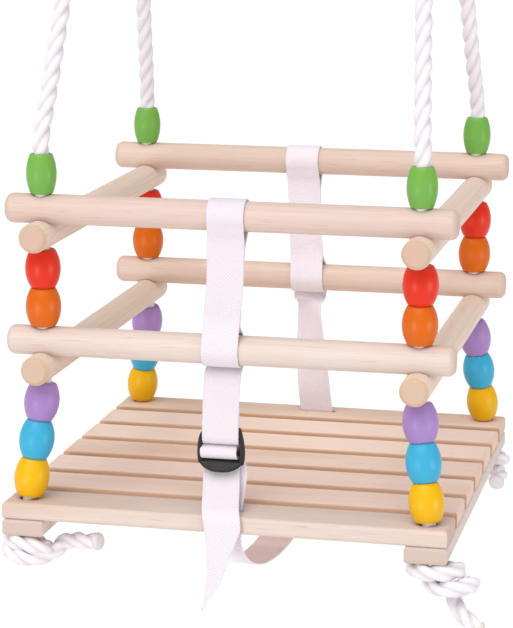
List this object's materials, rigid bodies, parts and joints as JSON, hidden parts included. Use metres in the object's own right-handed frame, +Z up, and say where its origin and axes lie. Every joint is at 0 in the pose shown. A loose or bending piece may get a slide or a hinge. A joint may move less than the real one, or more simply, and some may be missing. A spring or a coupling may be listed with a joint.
{
  "type": "toddler cradle swing",
  "caption": "Hanging toddler cradle swing: slatted wooden seat, two tiers of round guard bars, painted spacer beads on ropes, webbing crotch strap with ladder-lock buckle.",
  "frame": {"origin": "midway between the centres of the two hanging rings", "axes": "+X to the sitter's left as seen from the front, that is to the right in a front view, +Y to the back, +Z up"},
  "size_m": [0.3977, 0.389, 0.9211],
  "materials": {
    "wood": "bare sanded beech, matte",
    "rope": "twisted white rope, matte",
    "twine": "white twine, matte",
    "webbing": "white woven webbing, matte",
    "ring_steel": "zinc plated",
    "screw_steel": "yellow zinc plated",
    "buckle_plastic": "moulded, satin",
    "paint_green": "satin paint on wood",
    "paint_red": "satin paint on wood",
    "paint_orange": "satin paint on wood",
    "paint_purple": "satin paint on wood",
    "paint_blue": "satin paint on wood",
    "paint_yellow": "satin paint on wood"
  },
  "bodies": {
    "hangers": {"hanging_ring_left": "ring_steel", "hanging_ring_right": "ring_steel"},
    "seat": {"upper_rope_left": "rope", "upper_rope_right": "rope", "seizing_left": "twine", "seizing_right": "twine", "lower_rope_front_left": "rope", "lower_rope_front_right": "rope", "lower_rope_back_left": "rope", "lower_rope_back_right": "rope", "seat_slat_1": "wood", "seat_slat_2": "wood", "seat_slat_3": "wood", "seat_slat_4": "wood", "seat_slat_5": "wood", "seat_slat_6": "wood", "seat_slat_7": "wood", "batten_left": "wood", "batten_right": "wood", "seat_screws": "screw_steel", "crotch_strap": "webbing", "seat_strap": "webbing", "back_strap_lower": "webbing"},
    "guard": {"upper_bar_front": "wood", "upper_bar_back": "wood", "upper_bar_left": "wood", "upper_bar_right": "wood", "lower_bar_front": "wood", "lower_bar_back": "wood", "lower_bar_left": "wood", "lower_bar_right": "wood", "front_strap": "webbing", "ladder_lock": "buckle_plastic", "strap_tail": "webbing", "back_strap_upper": "webbing"},
    "green_bead_front_left": {"green_bead_front_left": "paint_green"},
    "red_bead_front_left": {"red_bead_front_left": "paint_red"},
    "orange_bead_front_left": {"orange_bead_front_left": "paint_orange"},
    "purple_bead_front_left": {"purple_bead_front_left": "paint_purple"},
    "blue_bead_front_left": {"blue_bead_front_left": "paint_blue"},
    "yellow_bead_front_left": {"yellow_bead_front_left": "paint_yellow"},
    "green_bead_front_right": {"green_bead_front_right": "paint_green"},
    "red_bead_front_right": {"red_bead_front_right": "paint_red"},
    "orange_bead_front_right": {"orange_bead_front_right": "paint_orange"},
    "purple_bead_front_right": {"purple_bead_front_right": "paint_purple"},
    "blue_bead_front_right": {"blue_bead_front_right": "paint_blue"},
    "yellow_bead_front_right": {"yellow_bead_front_right": "paint_yellow"},
    "green_bead_back_left": {"green_bead_back_left": "paint_green"},
    "red_bead_back_left": {"red_bead_back_left": "paint_red"},
    "orange_bead_back_left": {"orange_bead_back_left": "paint_orange"},
    "purple_bead_back_left": {"purple_bead_back_left": "paint_purple"},
    "blue_bead_back_left": {"blue_bead_back_left": "paint_blue"},
    "yellow_bead_back_left": {"yellow_bead_back_left": "paint_yellow"},
    "green_bead_back_right": {"green_bead_back_right": "paint_green"},
    "red_bead_back_right": {"red_bead_back_right": "paint_red"},
    "orange_bead_back_right": {"orange_bead_back_right": "paint_orange"},
    "purple_bead_back_right": {"purple_bead_back_right": "paint_purple"},
    "blue_bead_back_right": {"blue_bead_back_right": "paint_blue"},
    "yellow_bead_back_right": {"yellow_bead_back_right": "paint_yellow"}
  },
  "joints": [
    {"name": "swing", "type": "hinge", "parent": "hangers", "child": "seat", "pos_m": [0, 0, -0.027], "axis": [1, 0, 0], "range_deg": [-40, 40]},
    {"name": "guard_lift", "type": "slide", "parent": "seat", "child": "guard", "axis": [0, 0, 1], "range_m": [0, 0.1], "deforming": ["upper_rope_left", "upper_rope_right", "crotch_strap", "back_strap_lower"]},
    {"name": "green_bead_front_left_spin", "type": "hinge", "parent": "guard", "child": "green_bead_front_left", "pos_m": [-0.153, -0.159, -0.535], "axis": [0, 0, 1], "continuous": true},
    {"name": "red_bead_front_left_spin", "type": "hinge", "parent": "guard", "child": "red_bead_front_left", "pos_m": [-0.153, -0.159, -0.6153], "axis": [0, 0, 1], "continuous": true},
    {"name": "orange_bead_front_left_spin", "type": "hinge", "parent": "guard", "child": "orange_bead_front_left", "pos_m": [-0.153, -0.159, -0.6446], "axis": [0, 0, 1], "continuous": true},
    {"name": "purple_bead_front_left_spin", "type": "hinge", "parent": "seat", "child": "purple_bead_front_left", "pos_m": [-0.1552, -0.1614, -0.7243], "axis": [0.1118, 0.122, 0.9862], "continuous": true},
    {"name": "blue_bead_front_left_spin", "type": "hinge", "parent": "seat", "child": "blue_bead_front_left", "pos_m": [-0.1585, -0.165, -0.7534], "axis": [0.1118, 0.122, 0.9862], "continuous": true},
    {"name": "yellow_bead_front_left_spin", "type": "hinge", "parent": "seat", "child": "yellow_bead_front_left", "pos_m": [-0.1618, -0.1686, -0.7825], "axis": [0.1118, 0.122, 0.9862], "continuous": true},
    {"name": "green_bead_front_right_spin", "type": "hinge", "parent": "guard", "child": "green_bead_front_right", "pos_m": [0.153, -0.159, -0.535], "axis": [0, 0, 1], "continuous": true},
    {"name": "red_bead_front_right_spin", "type": "hinge", "parent": "guard", "child": "red_bead_front_right", "pos_m": [0.153, -0.159, -0.6153], "axis": [0, 0, 1], "continuous": true},
    {"name": "orange_bead_front_right_spin", "type": "hinge", "parent": "guard", "child": "orange_bead_front_right", "pos_m": [0.153, -0.159, -0.6446], "axis": [0, 0, 1], "continuous": true},
    {"name": "purple_bead_front_right_spin", "type": "hinge", "parent": "seat", "child": "purple_bead_front_right", "pos_m": [0.1552, -0.1614, -0.7243], "axis": [-0.1118, 0.122, 0.9862], "continuous": true},
    {"name": "blue_bead_front_right_spin", "type": "hinge", "parent": "seat", "child": "blue_bead_front_right", "pos_m": [0.1585, -0.165, -0.7534], "axis": [-0.1118, 0.122, 0.9862], "continuous": true},
    {"name": "yellow_bead_front_right_spin", "type": "hinge", "parent": "seat", "child": "yellow_bead_front_right", "pos_m": [0.1618, -0.1686, -0.7825], "axis": [-0.1118, 0.122, 0.9862], "continuous": true},
    {"name": "green_bead_back_left_spin", "type": "hinge", "parent": "guard", "child": "green_bead_back_left", "pos_m": [-0.153, 0.159, -0.535], "axis": [0, 0, 1], "continuous": true},
    {"name": "red_bead_back_left_spin", "type": "hinge", "parent": "guard", "child": "red_bead_back_left", "pos_m": [-0.153, 0.159, -0.6153], "axis": [0, 0, 1], "continuous": true},
    {"name": "orange_bead_back_left_spin", "type": "hinge", "parent": "guard", "child": "orange_bead_back_left", "pos_m": [-0.153, 0.159, -0.6446], "axis": [0, 0, 1], "continuous": true},
    {"name": "purple_bead_back_left_spin", "type": "hinge", "parent": "seat", "child": "purple_bead_back_left", "pos_m": [-0.1552, 0.1614, -0.7243], "axis": [0.1118, -0.122, 0.9862], "continuous": true},
    {"name": "blue_bead_back_left_spin", "type": "hinge", "parent": "seat", "child": "blue_bead_back_left", "pos_m": [-0.1585, 0.165, -0.7534], "axis": [0.1118, -0.122, 0.9862], "continuous": true},
    {"name": "yellow_bead_back_left_spin", "type": "hinge", "parent": "seat", "child": "yellow_bead_back_left", "pos_m": [-0.1618, 0.1686, -0.7825], "axis": [0.1118, -0.122, 0.9862], "continuous": true},
    {"name": "green_bead_back_right_spin", "type": "hinge", "parent": "guard", "child": "green_bead_back_right", "pos_m": [0.153, 0.159, -0.535], "axis": [0, 0, 1], "continuous": true},
    {"name": "red_bead_back_right_spin", "type": "hinge", "parent": "guard", "child": "red_bead_back_right", "pos_m": [0.153, 0.159, -0.6153], "axis": [0, 0, 1], "continuous": true},
    {"name": "orange_bead_back_right_spin", "type": "hinge", "parent": "guard", "child": "orange_bead_back_right", "pos_m": [0.153, 0.159, -0.6446], "axis": [0, 0, 1], "continuous": true},
    {"name": "purple_bead_back_right_spin", "type": "hinge", "parent": "seat", "child": "purple_bead_back_right", "pos_m": [0.1552, 0.1614, -0.7243], "axis": [-0.1118, -0.122, 0.9862], "continuous": true},
    {"name": "blue_bead_back_right_spin", "type": "hinge", "parent": "seat", "child": "blue_bead_back_right", "pos_m": [0.1585, 0.165, -0.7534], "axis": [-0.1118, -0.122, 0.9862], "continuous": true},
    {"name": "yellow_bead_back_right_spin", "type": "hinge", "parent": "seat", "child": "yellow_bead_back_right", "pos_m": [0.1618, 0.1686, -0.7825], "axis": [-0.1118, -0.122, 0.9862], "continuous": true}
  ]
}
